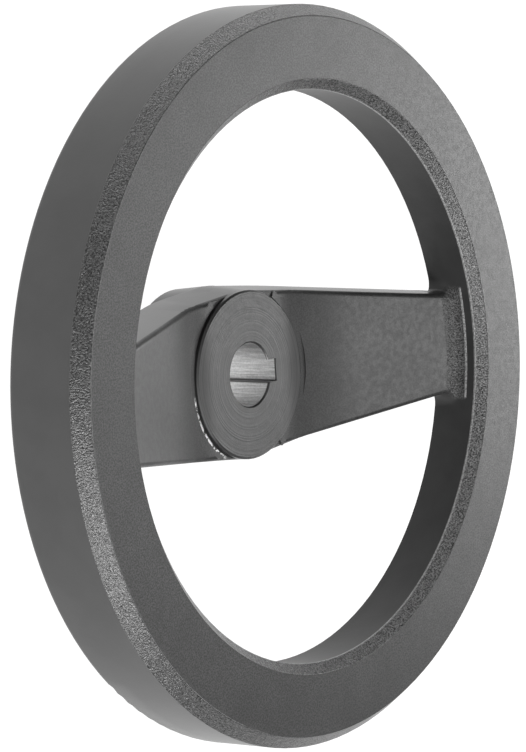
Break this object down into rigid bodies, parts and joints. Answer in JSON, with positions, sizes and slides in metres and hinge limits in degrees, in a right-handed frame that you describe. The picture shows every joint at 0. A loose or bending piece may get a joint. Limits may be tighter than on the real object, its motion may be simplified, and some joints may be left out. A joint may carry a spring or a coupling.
{
  "type": "machine handwheel",
  "caption": "Spoked machine handwheel: solid rim with bevelled front edges, dished spokes and a hub bored for a keyed shaft.",
  "frame": {"origin": "centre of the bore in the rear face of the hub, on which the wheel lies", "axes": "+Z along the wheel's axis towards the operator's side, +X along the spoke whose side holds the keyway"},
  "size_m": [0.16, 0.16, 0.04],
  "materials": {
    "coated_casting": "dark grey fine-textured powder coat on cast aluminium, bare metal in the bore"
  },
  "bodies": {
    "root": {"handwheel": "coated_casting"}
  },
  "joints": []
}
